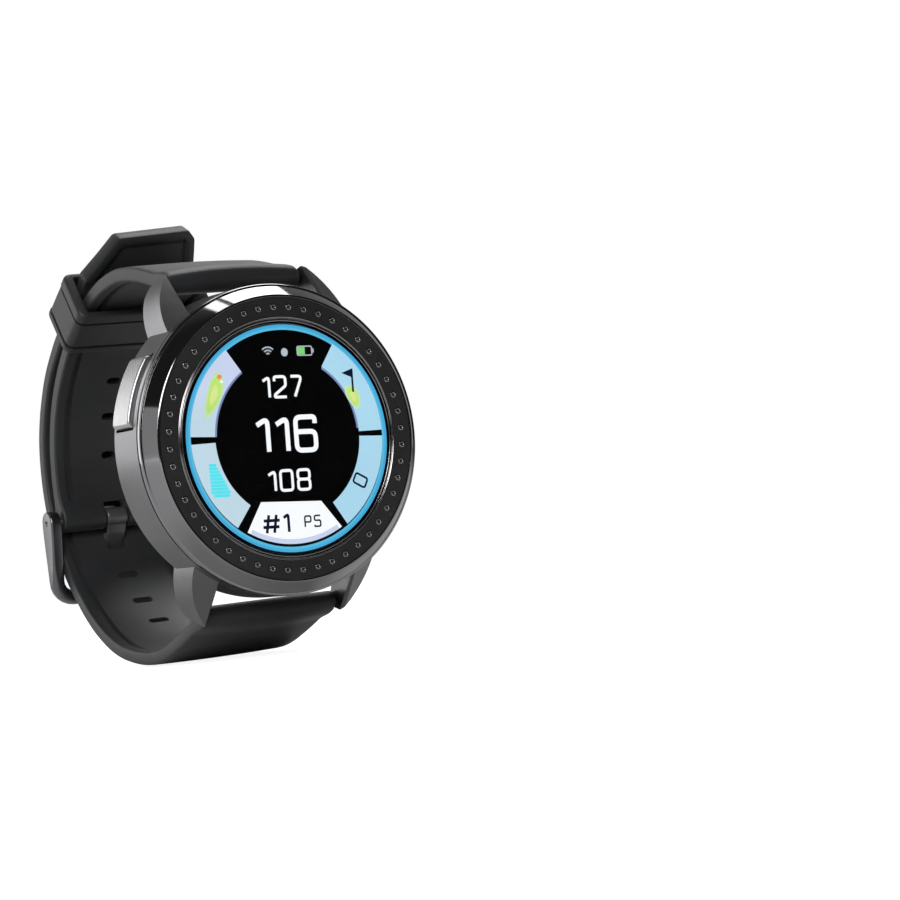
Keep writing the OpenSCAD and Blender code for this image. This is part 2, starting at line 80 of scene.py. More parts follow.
# Sizes that this script sets for itself
CROWN = 0.15                   # bulge of a strap's outer face, away from the lugs
TIP_L = 8.9                    # length of the lower strap's framed tip
UPPER_SLOTS = 3
UPPER_SLOT_START = 23.4        # from the pin to the upper strap's furthest slot
UPPER_SLOT_PITCH = 6.6
NOTCH_W = 2.1                  # half width of the notch in which the tongue turns


# ---------- geometry ----------

def at(x, y, z):
    return Vector((x, -z, y)) * MM


def piece(name, verts, faces, mat, body, stands_for=(), slot=None, crease=35):
    """A mesh from watch coordinates, smooth but for edges sharper than crease degrees."""
    mesh = bpy.data.meshes.new(name)
    mesh.from_pydata([at(*v) for v in verts], [], faces)
    bm = bmesh.new()
    bm.from_mesh(mesh)
    bmesh.ops.remove_doubles(bm, verts=bm.verts, dist=1e-6)
    bmesh.ops.recalc_face_normals(bm, faces=bm.faces)
    bm.to_mesh(mesh)
    bm.free()
    obj = bpy.data.objects.new(name, mesh)
    bpy.context.scene.collection.objects.link(obj)
    obj.data.materials.append(mat)
    shade(obj, crease)
    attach(obj, body)
    if stands_for:
        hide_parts(*stands_for)
    return obj


def shade(obj, crease):
    obj.data.shade_smooth()
    obj.data.set_sharp_from_angle(angle=math.radians(crease))


def apply_modifier(obj, kind, **settings):
    """Adds a modifier, bakes its result into the mesh and removes it."""
    modifier = obj.modifiers.new(kind.lower(), kind)
    for key, value in settings.items():
        setattr(modifier, key, value)
    depsgraph = bpy.context.evaluated_depsgraph_get()
    made = bpy.data.meshes.new_from_object(obj.evaluated_get(depsgraph))
    obj.modifiers.clear()
    old = obj.data
    obj.data = made
    bpy.data.meshes.remove(old)


def cut(obj, verts, faces, crease=35):
    """Takes a closed shape, given in watch coordinates, out of obj."""
    mesh = bpy.data.meshes.new("cutter")
    mesh.from_pydata([at(*v) for v in verts], [], faces)
    bm = bmesh.new()
    bm.from_mesh(mesh)
    bmesh.ops.recalc_face_normals(bm, faces=bm.faces)
    bm.to_mesh(mesh)
    bm.free()
    cutter = bpy.data.objects.new("cutter", mesh)
    bpy.context.scene.collection.objects.link(cutter)
    apply_modifier(obj, "BOOLEAN", operation="DIFFERENCE", object=cutter, solver="EXACT")
    bpy.data.objects.remove(cutter)
    bpy.data.meshes.remove(mesh)
    shade(obj, crease)


def fillet(points, radii, closed=True, steps=5):
    """The outline with its corners turned into arcs. radii is one radius or one for each corner."""
    pts = [np.array(p, float) for p in points]
    count = len(pts)
    radii = [radii] * count if np.isscalar(radii) else radii
    out = []
    for i, p in enumerate(pts):
        ends = not closed and i in (0, count - 1)
        if ends or radii[i] <= 0:
            out.append(p)
            continue
        a, b = pts[i - 1] - p, pts[(i + 1) % count] - p
        la, lb = np.linalg.norm(a), np.linalg.norm(b)
        a, b = a / la, b / lb
        half = math.acos(max(-1, min(1, float(a @ b)))) / 2
        reach = min(radii[i] / math.tan(half), 0.49 * la, 0.49 * lb)
        start, end = p + a * reach, p + b * reach
        for k in range(steps + 1):
            t = k / steps
            out.append(start * (1 - t) ** 2 + 2 * p * t * (1 - t) + end * t * t)
    return out


def lathe(profile, segments=240):
    """Vertices and faces of a closed (r, z) outline turned about the dial axis."""
    verts, faces, n = [], [], len(profile)
    for k in range(segments):
        a = 2 * math.pi * k / segments
        verts += [(r * math.cos(a), r * math.sin(a), z) for r, z in profile]
    for k in range(segments):
        m = (k + 1) % segments
        for i in range(n):
            j = (i + 1) % n
            if max(profile[i][0], profile[j][0]) > 0:
                faces.append((k * n + i, m * n + i, m * n + j, k * n + j))
    return verts, faces


def loft(sections, caps=True):
    """Faces that join closed sections of equal length, one after another."""
    n, verts, faces = len(sections[0]), [], []
    for s in sections:
        verts += [tuple(p) for p in s]
    for k in range(len(sections) - 1):
        for i in range(n):
            j = (i + 1) % n
            faces.append((k * n + i, k * n + j, (k + 1) * n + j, (k + 1) * n + i))
    if caps:
        faces.append(tuple(range(n)))
        faces.append(tuple(range((len(sections) - 1) * n, len(sections) * n)))
    return verts, faces


def merge(parts):
    """Several (verts, faces) as one."""
    verts, faces = [], []
    for v, f in parts:
        faces += [tuple(i + len(verts) for i in face) for face in f]
        verts += v
    return verts, faces


class Path:
    """A smooth curve in the plane of the watch's y and z, measured along its length."""

    def __init__(self, points, steps=16):
        p = [np.array(q, float) for q in points]
        out = []
        for i in range(len(p) - 1):
            a, b, c, d = p[max(i - 1, 0)], p[i], p[i + 1], p[min(i + 2, len(p) - 1)]
            for k in range(steps):
                t = k / steps
                out.append(0.5 * (2 * b + (c - a) * t + (2 * a - 5 * b + 4 * c - d) * t ** 2
                                  + (3 * b - a - 3 * c + d) * t ** 3))
        self.p = np.array(out + [p[-1]])
        self.s = np.concatenate([[0], np.cumsum(np.linalg.norm(np.diff(self.p, axis=0), axis=1))])
        self.length = self.s[-1]
        self.t = np.gradient(self.p, axis=0)
        self.t /= np.linalg.norm(self.t, axis=1)[:, None]

    def place(self, s):
        """(point, tangent) at s, straight on past either end."""
        c = min(max(s, 0), self.length)
        p = np.array([np.interp(c, self.s, self.p[:, k]) for k in (0, 1)])
        t = np.array([np.interp(c, self.s, self.t[:, k]) for k in (0, 1)])
        t /= np.linalg.norm(t)
        return p + t * (s - c), t


def ramp(x, low, high):
    """0 at low, 1 at high, smooth in between."""
    t = min(max((x - low) / (high - low), 0), 1)
    return t * t * (3 - 2 * t)


def between(x, x0, a, x1, b):
    """a at x0 and b at x1, straight in between and level beyond them."""
    t = min(max((x - x0) / (x1 - x0), 0), 1)
    return a + (b - a) * t


# ---------- materials ----------

def shader(name, color, rough, metal=0.0, vary=0.15, grain=(900, 900, 900), relief=0.015,
           blotch=120, rough_vary=0.08, rings=None, **sockets):
    """A procedural finish: colour mottled by large noise, roughness and relief from fine grain.
    grain is the fineness along the row's axes, per metre, and relief is in millimetres."""
    mat = bpy.data.materials.new(name)
    mat.use_nodes = True
    tree = mat.node_tree
    nodes, links = tree.nodes, tree.links
    principled = nodes["Principled BSDF"]
    coords = nodes.new("ShaderNodeTexCoord")
    large = nodes.new("ShaderNodeTexNoise")
    large.inputs["Scale"].default_value = blotch
    large.inputs["Detail"].default_value = 4
    links.new(coords.outputs["Object"], large.inputs["Vector"])
    tint = nodes.new("ShaderNodeValToRGB")
    tint.color_ramp.elements[0].position = 0.3
    tint.color_ramp.elements[1].position = 0.7
    tint.color_ramp.elements[0].color = (*[c * (1 - vary) for c in color], 1)
    tint.color_ramp.elements[1].color = (*[min(c * (1 + vary), 1) for c in color], 1)
    links.new(large.outputs["Fac"], tint.inputs["Fac"])
    links.new(tint.outputs["Color"], principled.inputs["Base Color"])
    stretch = nodes.new("ShaderNodeMapping")
    stretch.inputs["Scale"].default_value = grain
    links.new(coords.outputs["Object"], stretch.inputs["Vector"])
    fine = nodes.new("ShaderNodeTexNoise")
    fine.inputs["Scale"].default_value = 1
    fine.inputs["Detail"].default_value = 6
    fine.inputs["Roughness"].default_value = 0.6
    links.new(stretch.outputs["Vector"], fine.inputs["Vector"])
    source = fine.outputs["Fac"]
    if rings:
        source = turned_grain(tree, coords, rings)
    spread = nodes.new("ShaderNodeMapRange")
    spread.inputs["To Min"].default_value = max(rough - rough_vary, 0.02)
    spread.inputs["To Max"].default_value = min(rough + rough_vary, 1)
    links.new(source, spread.inputs["Value"])
    links.new(spread.outputs["Result"], principled.inputs["Roughness"])
    bump = nodes.new("ShaderNodeBump")
    bump.inputs["Strength"].default_value = 0.6
    bump.inputs["Distance"].default_value = relief * MM
    links.new(source, bump.inputs["Height"])
    links.new(bump.outputs["Normal"], principled.inputs["Normal"])
    principled.inputs["Metallic"].default_value = metal
    for key, value in sockets.items():
        principled.inputs[key.replace("_", " ")].default_value = value
    return mat


def turned_grain(tree, coords, rings):
    """Fine lines round the dial axis, as a lathe leaves: rings per metre of radius and of height."""
    nodes, links = tree.nodes, tree.links
    split = nodes.new("ShaderNodeSeparateXYZ")
    links.new(coords.outputs["Object"], split.inputs[0])
    flat = nodes.new("ShaderNodeCombineXYZ")
    links.new(split.outputs["X"], flat.inputs["X"])
    links.new(split.outputs["Z"], flat.inputs["Z"])
    radius = nodes.new("ShaderNodeVectorMath")
    radius.operation = "LENGTH"
    links.new(flat.outputs[0], radius.inputs[0])
    total = nodes.new("ShaderNodeMath")
    total.operation = "ADD"
    links.new(radius.outputs["Value"], total.inputs[0])
    links.new(split.outputs["Y"], total.inputs[1])
    lines = nodes.new("ShaderNodeTexNoise")
    lines.noise_dimensions = "1D"
    lines.inputs["Scale"].default_value = rings
    lines.inputs["Detail"].default_value = 4
    links.new(total.outputs[0], lines.inputs["W"])
    return lines.outputs["Fac"]


def glow(name, color, strength=1.0, vary=0.04):
    """A lit part of the display: its own light, a little uneven as a backlight is."""
    mat = bpy.data.materials.new(name)
    mat.use_nodes = True
    nodes, links = mat.node_tree.nodes, mat.node_tree.links
    principled = nodes["Principled BSDF"]
    coords = nodes.new("ShaderNodeTexCoord")
    noise = nodes.new("ShaderNodeTexNoise")
    noise.inputs["Scale"].default_value = 90
    links.new(coords.outputs["Object"], noise.inputs["Vector"])
    tint = nodes.new("ShaderNodeValToRGB")
    tint.color_ramp.elements[0].color = (*[c * (1 - vary) for c in color], 1)
    tint.color_ramp.elements[1].color = (*[min(c * (1 + vary), 1) for c in color], 1)
    links.new(noise.outputs["Fac"], tint.inputs["Fac"])
    principled.inputs["Base Color"].default_value = (*[c * 0.1 for c in color], 1)
    links.new(tint.outputs["Color"], principled.inputs["Emission Color"])
    principled.inputs["Emission Strength"].default_value = strength
    principled.inputs["Roughness"].default_value = 0.6
    principled.inputs["Specular IOR Level"].default_value = 0.1
    return mat


RUBBER = shader("strap_rubber", (0.031, 0.032, 0.034), 0.46, vary=0.2, grain=(5200, 5200, 5200),
                relief=0.03, blotch=70, rough_vary=0.1, Specular_IOR_Level=0.5,
                Sheen_Weight=0.12, Sheen_Roughness=0.4)
CASE_METAL = shader("case_metal", (0.255, 0.255, 0.262), 0.34, metal=1, vary=0.06,
                    grain=(700, 14000, 700), relief=0.006, blotch=200)
BEZEL_METAL = shader("bezel_metal", (0.38, 0.38, 0.39), 0.07, metal=1, vary=0.05, rings=9000,
                     relief=0.0006, rough_vary=0.04)
INSERT_BLACK = shader("black_insert", (0.026, 0.0265, 0.027), 0.34, vary=0.2, grain=(6000, 6000, 6000),
                      relief=0.004, Specular_IOR_Level=0.5)
STEEL = shader("steel", (0.6, 0.6, 0.61), 0.2, metal=1, vary=0.06, grain=(16000, 900, 900), relief=0.003)
TRIM_STEEL = shader("trim_steel", (0.42, 0.4, 0.4), 0.14, metal=1, vary=0.05, rings=12000, relief=0.001)
BUTTON_METAL = shader("button_metal", (0.62, 0.62, 0.63), 0.3, metal=1, vary=0.06,
                      grain=(4000, 4000, 4000), relief=0.004)
PRONG_METAL = shader("prong_metal", (0.19, 0.19, 0.195), 0.36, metal=0.6, vary=0.08,
                     grain=(9000, 900, 900), relief=0.006)
BUCKLE_METAL = shader("buckle_metal", (0.21, 0.21, 0.218), 0.3, metal=1, vary=0.08,
                      grain=(900, 900, 15000), relief=0.005)
BACK_PLASTIC = shader("back_plastic", (0.02, 0.02, 0.022), 0.42, vary=0.15, rings=8000, relief=0.01)
FRAME_PLASTIC = shader("frame_plastic", (0.035, 0.035, 0.04), 0.5, grain=(3000, 3000, 3000), relief=0.02)
BOARD_GREEN = shader("circuit_board", (0.01, 0.09, 0.035), 0.35, vary=0.3, blotch=900, relief=0.01)
TINNED = shader("tinned_steel", (0.62, 0.62, 0.6), 0.28, metal=1, grain=(2500, 2500, 2500), relief=0.01)
BRASS = shader("gold_plate", (0.85, 0.6, 0.25), 0.22, metal=1, grain=(5000, 5000, 5000), relief=0.004)
CELL_FOIL = shader("cell_foil", (0.6, 0.61, 0.63), 0.38, metal=1, blotch=250, grain=(1500, 1500, 1500),
                   relief=0.05)
FOAM = shader("foam", (0.03, 0.03, 0.03), 0.9, grain=(7000, 7000, 7000), relief=0.12)
SEAL = shader("seal_rubber", (0.012, 0.012, 0.013), 0.55, grain=(5000, 5000, 5000), relief=0.02)
DIFFUSER = shader("diffuser", (0.8, 0.8, 0.78), 0.6, vary=0.03, grain=(8000, 8000, 8000), relief=0.01)
FLEX = shader("flex_film", (0.6, 0.25, 0.05), 0.3, grain=(400, 9000, 400), relief=0.01)
PANEL_GLASS = shader("display_glass", (0.001, 0.001, 0.002), 0.3, vary=0.3, relief=0.001,
                     Specular_IOR_Level=0.05)
LENS_GLASS = shader("lens_glass", (1, 1, 1), 0.02, vary=0.0, relief=0.0002, rough_vary=0.01,
                    Transmission_Weight=1.0, IOR=1.45, Specular_IOR_Level=0.1)

FINISH = {
    "case_metal": CASE_METAL, "bezel_metal": BEZEL_METAL, "black_insert": INSERT_BLACK, "steel": STEEL,
    "lens_glass": LENS_GLASS, "seal_rubber": SEAL, "display_glass": PANEL_GLASS, "diffuser": DIFFUSER,
    "frame_plastic": FRAME_PLASTIC, "flex_film": FLEX, "circuit_board": BOARD_GREEN,
    "tinned_steel": TINNED, "brass": BRASS, "cell_foil": CELL_FOIL, "foam": FOAM,
    "back_plastic": BACK_PLASTIC, "button_metal": BUTTON_METAL, "strap_rubber": RUBBER,
    "buckle_metal": BUCKLE_METAL,
}
for part in frame["record"]["subparts"]:
    node = frame["nodes"][part["node"]]
    node.data.materials.clear()
    node.data.materials.append(FINISH[part["material_slot"]])


# ---------- straps ----------

def strap_section(left, right, out, inn, crown, groove, panel):
    """One cross-section: (x, n) round the strap, n outward. The inner face has a raised rim, then a
    groove of the given depth, then a panel sunk by panel."""
    edge = 0.4
    inner = [(edge, 0), (1.55, 0), (1.7, groove + panel), (2.55, groove + panel), (2.7, panel)]
    middle, span = (left + right) / 2, (right - left) / 2
    bend = [(right - edge * (1 - math.sin(a)), -inn + edge * (1 - math.cos(a)))
            for a in (0.4, 0.8, 1.2, 1.57)]
    roof = [(right - edge * (1 - math.cos(a)), out - edge * (1 - math.sin(a))) for a in (0.0, 0.4, 0.8, 1.2)]
    over = [middle + span * f for f in (0.93, 0.8, 0.6, 0.35, 0, -0.35, -0.6, -0.8, -0.93)]
    points = [(left + e, -inn + d) for e, d in inner]
    points += [(right - e, -inn + d) for e, d in inner[::-1]]
    points += bend + roof
    points += [(x, out + crown * (1 - ((x - middle) / span) ** 2)) for x in over]
    points += [(2 * middle - x, n) for x, n in roof[::-1]]
    points += [(2 * middle - x, n) for x, n in bend[::-1]]
    return points


def strap_body(path, outward, places, shape):
    """Sections along a path. shape(s) gives strap_section's numbers and a rounding at the ends."""
    sections = []
    for s in places:
        *numbers, squeeze = shape(s)
        p, t = path.place(s)
        side = np.array([-t[1], t[0]]) * outward
        sections.append([(x, *(p + side * n * squeeze)) for x, n in strap_section(*numbers)])
    return loft(sections)


def slot_cutter(path, s, width=3.5, height=1.3, r=0.65, depth=3.5):
    """A prism with rounded corners through the strap at s."""
    p, t = path.place(s)
    n = np.array([-t[1], t[0]])
    outline = []
    for k in range(20):
        a = math.pi / 2 * (k // 5 + (k % 5) / 4)
        x = (width / 2 - r) * (1 if k // 5 in (0, 3) else -1)
        v = (height / 2 - r) * (1 if k // 5 in (0, 1) else -1)
        outline.append((x + r * math.cos(a), v + r * math.sin(a)))
    return loft([[(x, *(p + t * v + n * d)) for x, v in outline] for d in (-depth, depth)])


def round_end(distance, radius):
    """1 inside, falling on a quarter circle to nearly 0 at the very end."""
    t = min(max(distance / radius, 0.02), 1)
    return math.sqrt(1 - (1 - t) ** 2)


def stations(start, end, round_start=True, round_finish=True):
    """Places along a strap, closer together at its rounded ends."""
    fine = np.arange(0, 0.8, 0.1)
    middle = np.arange(start + 0.8, end - 0.8, 0.8)
    first = start + fine if round_start else [start]
    last = (end - fine)[::-1] if round_finish else [end]
    return np.concatenate([first, middle, last])


upper = Path(UPPER_PATH)


def upper_shape(s):
    w = between(upper.place(s)[0][1], -2, LUG_W, -36, TIP_W)
    lug, pin = 1 - ramp(s, 0.5, 4.5), ramp(s, upper.length - 4, upper.length - 0.8)
    near_lug = 1 - ramp(s, 3, 16)
    thick = 1.1 + 0.55 * max(lug, pin)
    groove = 0.45 * ramp(s, 17, 19.5) * (1 - ramp(s, upper.length - 3.6, upper.length - 3.2))
    panel = 0.1 * ramp(s, 14, 20) * (1 - ramp(s, upper.length - 9, upper.length - 5))
    end = min(s + KNUCKLE, upper.length + KNUCKLE - s)
    return -w, w, thick, thick, CROWN + 0.5 * near_lug, groove, panel, round_end(end, KNUCKLE)


strap_a = strap_body(upper, 1, stations(-KNUCKLE, upper.length + KNUCKLE), upper_shape)
strap_upper = piece("strap_upper_skin", *strap_a, RUBBER, "upper_strap", ["strap_upper"], "strap_rubber")
holes = [slot_cutter(upper, upper.length - UPPER_SLOT_START + k * UPPER_SLOT_PITCH,
                     width=2.4, height=1.2, r=0.6) for k in range(UPPER_SLOTS)]
cut(strap_upper, *merge(holes))
notch = fillet([(-NOTCH_W, PIN[0] - 4), (NOTCH_W, PIN[0] - 4), (NOTCH_W, PIN[0] + 2.6),
                (-NOTCH_W, PIN[0] + 2.6)], [0, 0, 0.6, 0.6])
cut(strap_upper, *loft([[(x, y, z) for x, y in notch] for z in (PIN[1] - 3, PIN[1] + 3)]))

lower = Path(LOWER_PATH)


def lower_shape(s):
    y, z = lower.place(s)[0]
    w = between(z, -26, LUG_W, -42, BUCKLE_W)
    if y > -10:
        w = min(w, between(y, 10, BUCKLE_W, 36, TIP_W))
    lug, near_lug = 1 - ramp(s, 0.5, 4.5), 1 - ramp(s, 3, 12)
    thick = 1.1 + 0.55 * lug
    from_end = lower.length - s
    groove = 0.5 * ramp(s, 13, 16) * ramp(from_end, 26, 30)
    panel = 0.1 * ramp(s, 12, 18) * ramp(from_end, TIP_L + 0.5, TIP_L + 3)
    w -= 0.1 * (1 - ramp(from_end, TIP_L - 0.5, TIP_L))
    crown = CROWN * (1 - ramp(y, 0, 14)) + 0.4 * near_lug
    # the outer face is lowered by CROWN, so that its bulge stays within the CAD model's box
    return -w, w, thick - CROWN, thick, crown, groove, panel, round_end(s + KNUCKLE, KNUCKLE)


def inset(corners, d):
    """The corners of a convex outline moved inward by d."""
    pts = [np.array(c, float) for c in corners]
    middle = sum(pts) / len(pts)
    normals = []
    for a, b in zip(pts, pts[1:] + pts[:1]):
        n = np.array([a[1] - b[1], b[0] - a[0]])
        n = n / np.linalg.norm(n)
        normals.append(n if n @ (middle - a) > 0 else -n)
    return [p + (normals[i - 1] + normals[i]) * d / (1 + normals[i - 1] @ normals[i])
            for i, p in enumerate(pts)]


def make_tip():
    """The strap's framed tip. Its outline is (x, distance from the end), with two corners clipped."""
    corners = [(-4.5, 0.75), (7.5, 0), (8.75, 1.5), (TIP_W, TIP_L), (-TIP_W, TIP_L), (-TIP_W, 7.3)]
    radii = [1.0, 0.8, 0.8, 0, 0, 1.2]

    def rounded(d):
        line = fillet(inset(corners, d), [max(r - 0.4 * d, 0.05) if r else 0 for r in radii])
        return list(zip(line, line[1:] + line[:1]))

    parts = [10 if np.linalg.norm(b - a) > 3 else 1 for a, b in rounded(0)]

    def outline(d):
        return [a + (b - a) * k / n for (a, b), n in zip(rounded(d), parts) for k in range(n)]

    # from the middle of the outer face, round the edge, over the rim and groove, to the middle panel
    levels = [(0.5, -1.1), (0.12, -1.03), (0, -0.8), (0, 1.2), (0.1, 1.47), (0.4, 1.6), (1.2, 1.6),
              (1.4, 1.5), (1.45, 0.95), (1.95, 0.95), (2.05, 1.1)]
    middle = np.array([0.3, 4.6])
    rings = [[middle + (q - middle) * f for q in outline(0.5)] for f in (0.02, 0.3, 0.6)]
    heights = [-1.1] * 3
    for d, n in levels:
        rings.append(outline(d))
        heights.append(n)
    rings += [[middle + (q - middle) * f for q in outline(2.05)] for f in (0.6, 0.3, 0.02)]
    heights += [1.1] * 3
    sections = []
    for ring, n in zip(rings, heights):
        section = []
        for x, u in ring:
            lift = n if n < 1.1 else 1.1 + (n - 1.1) * (1 - ramp(u, 7.4, 8.8))
            p, t = lower.place(lower.length - u)
            section.append((x, *(p + np.array([-t[1], t[0]]) * lift)))
        sections.append(section)
    return loft(sections)


strap_b = strap_body(lower, -1, stations(-KNUCKLE, lower.length - TIP_L + 1.2, round_finish=False),
                     lower_shape)
strap_lower = piece("strap_lower_skin", *strap_b, RUBBER, "lower_strap", ["strap_lower"], "strap_rubber")
piece("strap_tip_frame", *make_tip(), RUBBER, "lower_strap", ["strap_lower"], "strap_rubber", crease=40)
used_slot = lower.s[np.argmax(lower.p[:, 0] > USED_SLOT_Y)]
holes = [slot_cutter(lower, used_slot + k * SLOT_PITCH) for k in range(-SPARE_SLOTS, SPARE_SLOTS + 1) if k]
# the slot in use is stretched by the slanted tongue
holes.append(slot_cutter(lower, used_slot + 0.65, width=3.45, height=3.0, r=0.4))
cut(strap_lower, *merge(holes))


# ---------- keeper ----------

def rounded_box(half_x, half_n, radius, steps=6):
    """A rectangle about the origin with rounded corners."""
    corners = [(-half_x, -half_n), (half_x, -half_n), (half_x, half_n), (-half_x, half_n)]
    return fillet(corners, radius, steps=steps)


def make_keeper():
    """A closed band with two grooves round its outside, hollow for both straps."""
    lean = math.radians(KEEPER_LEAN)
    along = np.array([math.cos(lean), math.sin(lean)])
    outward = np.array([along[1], -along[0]])
    centre = np.array(KEEPER)
    groove = 0.4
    # the outside from one edge to the other: (distance along the strap, how far sunk)
    outside = [(-4.5, 0.5), (-4.42, 0.22), (-4.2, 0.06), (-3.95, 0), (-3.3, 0), (-3.2, groove),
               (-2.9, groove), (-2.8, 0.08), (2.2, 0.08), (2.3, groove), (2.62, groove), (2.72, 0),
               (3.95, 0), (4.2, 0.06), (4.42, 0.22), (4.5, 0.5)]
    # the hole, back to the first edge: (distance along the strap, how far flared)
    inside = [(4.5, 1.0), (3.0, 0.0), (-4.3, 0.0), (-4.5, 1.0)]
    sections = []
    for u, d in outside:
        sections.append((u, rounded_box(11.6 - d, 4.5 - d, 1.5)))
    for u, d in inside:
        sections.append((u, rounded_box(9.85 + 0.3 * d, 3.3 + 0.3 * d, 0.5)))
    rings = []
    for u, outline in sections:
        rings.append([(x, *(centre + along * u + outward * n)) for x, n in outline])
    return loft(rings + [rings[0]], caps=False)


piece("keeper_band", *make_keeper(), RUBBER, "strap_keeper", ["keeper"], "strap_rubber", crease=50)


# ---------- buckle ----------

def make_buckle():
    """A U of changing section: flat arms that end round at the pin, and a round crossbar."""
    pin, bar = np.array(PIN), np.array(BAR)
    reach = np.linalg.norm(bar - pin)
    along = (bar - pin) / reach
    normal = np.array([along[1], -along[0]])
    arm_x, corner, pin_r, bar_r = 10.9, 2.6, 1.8, 1.2
    half = []
    for d in (-1.8, -1.76, -1.62, -1.35, -0.9, -0.3, 0.3, 1.5, 3, 5, 7, reach - corner):
        tall = pin_r + (bar_r - pin_r) * ramp(d, 0, reach - corner)
        if d < 0.3:
            tall = math.sqrt(max(pin_r ** 2 - d * d, 0.04))
        flat = 0.92 + 0.25 * ramp(d, 6, reach)
        half.append((arm_x, d, 0.0, tall, flat))
    for k in range(1, 7):
        a = math.pi / 2 * k / 6
        half.append((arm_x - corner * (1 - math.cos(a)), reach - corner + corner * math.sin(a), a,
                     bar_r, 1.1 + 0.1 * k / 6))
    for x in (6, 3, 0):
        half.append((x, reach, math.pi / 2, bar_r, bar_r))
    whole = half + [(-x, d, math.pi - a, tall, flat) for x, d, a, tall, flat in half[-2::-1]]
    rings = []
    for x, d, a, tall, flat in whole:
        soft = 0.25 + (min(tall, flat) - 0.25) * ramp(d, 6, reach)
        outline = rounded_box(flat, tall, min(soft * 1.6, 1.7 * min(tall, flat)))
        ring = []
        for across, up in outline:
            px, pd = x + across * math.cos(a), d + across * math.sin(a)
            y, z = pin + along * pd + normal * up
            ring.append((px, y, z))
        rings.append(ring)
    return loft(rings)


def make_rod(radius, x0, x1, centre, segments=32):
    """A cylinder across the watch, its centre given as (y, z)."""
    rings = []
    for x in (x0, x1):
        rings.append([(x, centre[0] + radius * math.cos(2 * math.pi * k / segments),
                       centre[1] + radius * math.sin(2 * math.pi * k / segments)) for k in range(segments)])
    return loft(rings)


buckle = piece("buckle_loop", *make_buckle(), BUCKLE_METAL, "buckle", ["buckle_frame"], "buckle_metal",
               crease=50)
# a bore for the pin that stops inside the arms, and the narrower one right through them
cut(buckle, *make_rod(0.8, -11.6, 11.6, PIN), crease=50)
cut(buckle, *make_rod(0.45, -12.5, 12.5, PIN), crease=50)


def make_tongue():
    """A strip of sheet rolled round the pin, then out through the slot and over the crossbar."""
    pin = np.array(PIN)
    thick, roll, half_w = 0.75, 1.17, 1.6
    points = []
    for k in range(25):
        a = math.radians(-168 + 318 * k / 24)
        points.append(tuple(pin + roll * np.array([math.cos(a), math.sin(a)])))
    points += [(-10.2, -46.5), (-11.9, -47.9), (-13.7, -49.05), (-16.5, -49.15), (-20.7, -48.7)]
    strip = fillet(points, [0] * 24 + [0.5, 1.5, 2.0, 1.6, 1.5, 0], closed=False)
    strip = [np.array(p) for p in strip]
    rings = []
    for i, p in enumerate(strip):
        t = strip[min(i + 1, len(strip) - 1)] - strip[max(i - 1, 0)]
        t = t / np.linalg.norm(t)
        n = np.array([-t[1], t[0]])
        near_end = sum(np.linalg.norm(strip[j + 1] - strip[j]) for j in range(i, len(strip) - 1))
        width = half_w
        if near_end < half_w:
            width = half_w * (0.55 + 0.45 * round_end(near_end + 0.1, half_w))
        width += 0.15 * (1 - ramp(i, 20, 34))
        outline = rounded_box(width, thick / 2, 0.28, steps=3)
        rings.append([(x + 0.05, *(p + n * v)) for x, v in outline])
    return loft(rings)


piece("buckle_prong", *make_tongue(), PRONG_METAL, "tongue", ["buckle_tongue"], "buckle_metal", crease=50)


# ---------- bezel, trim, lens ----------

bezel_profile = fillet(
    [(18.4, 10.9), (22.0, 10.9), (22.0, 11.15), (22.42, 11.15), (22.5, 11.25), (22.5, 11.8), (22.4, 11.92),
     (22.16, 11.94), (22.1, 12.06), (20.71, 13.88), (20.57, 13.96), (20.35, 13.96), (20.35, 13.15),
     (17.15, 13.15), (17.15, 13.25), (16.5, 13.25), (16.5, 12.75), (18.4, 12.75)],
    [0, 0, 0.04, 0.06, 0.08, 0.08, 0.06, 0.05, 0.05, 0.12, 0.08, 0.04, 0, 0, 0, 0.04, 0, 0], steps=3)
piece("bezel_polished", *lathe(bezel_profile), BEZEL_METAL, "case", ["bezel_ring"], "bezel_metal", crease=28)
trim_profile = fillet([(17.2, 13.15), (17.5, 13.15), (17.5, 14.03), (17.42, 14.1), (17.36, 14.03),
                       (17.3, 14.02), (17.25, 14.07), (17.2, 14.02)], 0.02, steps=2)
piece("trim_polished", *lathe(trim_profile), TRIM_STEEL, "case", ["trim_ring"], "steel", crease=60)
lens_line = [(16.82, 13.9), (16.84, 13.97), (16.9, 14.0), (16.98, 14.0), (17.04, 13.97), (17.06, 13.9)]
piece("lens_edge_line", *lathe(lens_line), TRIM_STEEL, "case", slot="bezel_metal", crease=50)


def make_dimple_rims(count=48, circle_r=18.9, steps=20):
    """A small polished collar round each dimple of the insert."""
    profile = [(0.23, 13.9), (0.24, 14.0), (0.3, 14.05), (0.36, 14.05), (0.44, 14.0), (0.44, 13.9)]
    parts = []
    for i in range(count):
        a = math.radians(90 + i * 360 / count)
        verts, faces = lathe(profile, steps)
        verts = [(x + circle_r * math.cos(a), y + circle_r * math.sin(a), z) for x, y, z in verts]
        parts.append((verts, faces))
    return merge(parts)


piece("dimple_collars", *make_dimple_rims(), TRIM_STEEL, "case", slot="bezel_metal", crease=50)


# ---------- button ----------

